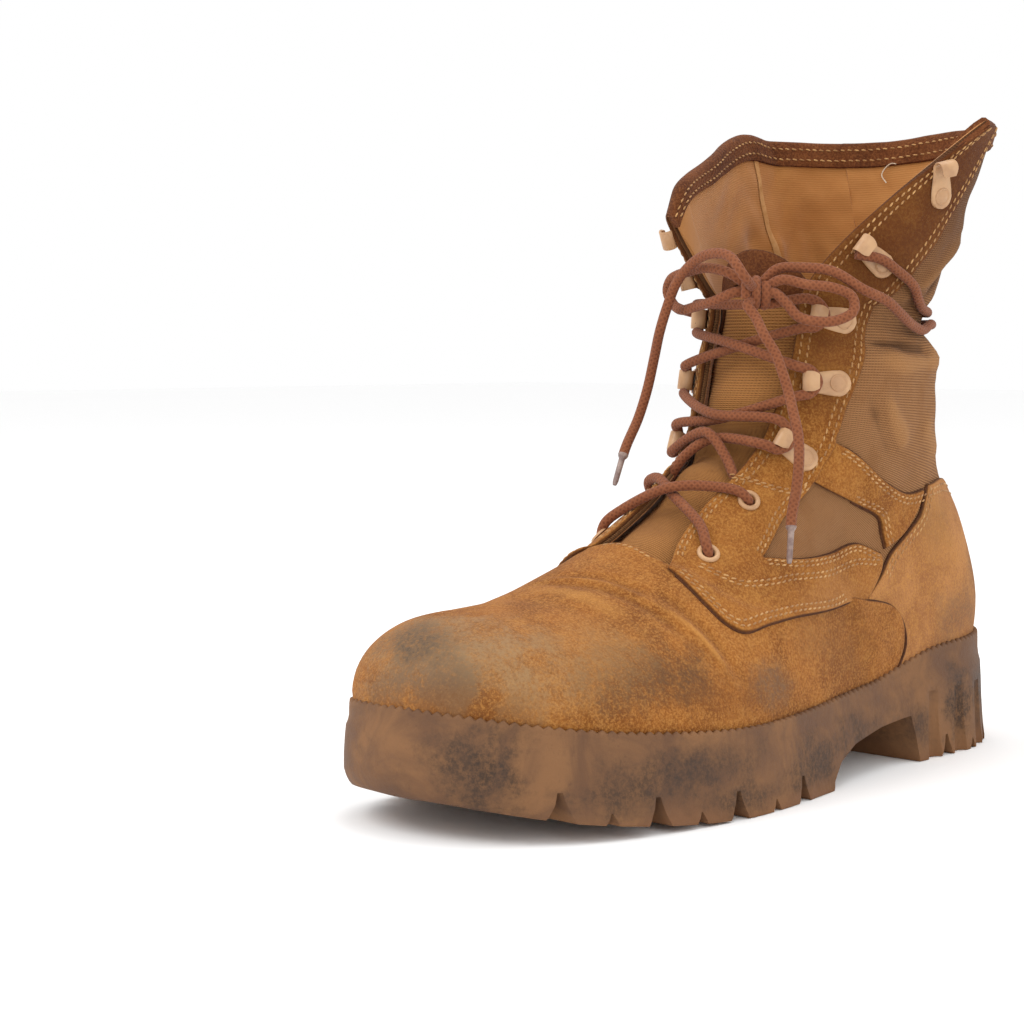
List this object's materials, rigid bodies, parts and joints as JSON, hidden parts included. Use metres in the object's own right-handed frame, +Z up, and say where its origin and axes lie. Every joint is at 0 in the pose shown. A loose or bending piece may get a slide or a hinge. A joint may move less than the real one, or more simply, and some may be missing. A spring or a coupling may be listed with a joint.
{
  "type": "combat boot",
  "caption": "Left desert combat boot: suede and ribbed nylon upper, rubber lug sole, eyelets, lace hooks and a tied lace, collar pulled open.",
  "frame": {"origin": "middle of the heel's flat rest face, on the floor", "axes": "+Z up, -Y toward the toe, +X toward the outer (lateral) side of the left foot"},
  "size_m": [0.118, 0.3133, 0.2436],
  "materials": {
    "rubber": "worn matt brown rubber with dark stains",
    "insole_cloth": "matt",
    "nylon": "ribbed woven cloth",
    "suede": "napped, scuffed at the toe and the ball",
    "enamel": "satin beige enamel, chipped",
    "lace": "braided"
  },
  "bodies": {
    "root": {"outsole": "rubber", "insole": "insole_cloth", "upper": "nylon", "tongue": "nylon", "vamp": "suede", "stay_lateral": "suede", "stay_medial": "suede", "strap_lateral": "suede", "strap_medial": "suede", "counter": "suede", "collar_binding": "suede", "eyelet_lateral_1": "enamel", "eyelet_lateral_2": "enamel", "eyelet_medial_1": "enamel", "eyelet_medial_2": "enamel", "hook_lateral_1": "enamel", "hook_lateral_2": "enamel", "hook_lateral_3": "enamel", "hook_lateral_4": "enamel", "hook_lateral_5": "enamel", "hook_medial_1": "enamel", "hook_medial_2": "enamel", "hook_medial_3": "enamel", "hook_medial_4": "enamel", "hook_medial_5": "enamel", "lace_bars": "lace", "lace_knot": "lace", "lace_loop_left": "lace", "lace_loop_right": "lace", "lace_end_left": "lace", "lace_end_right": "lace", "lace_wrap": "lace"}
  },
  "joints": []
}
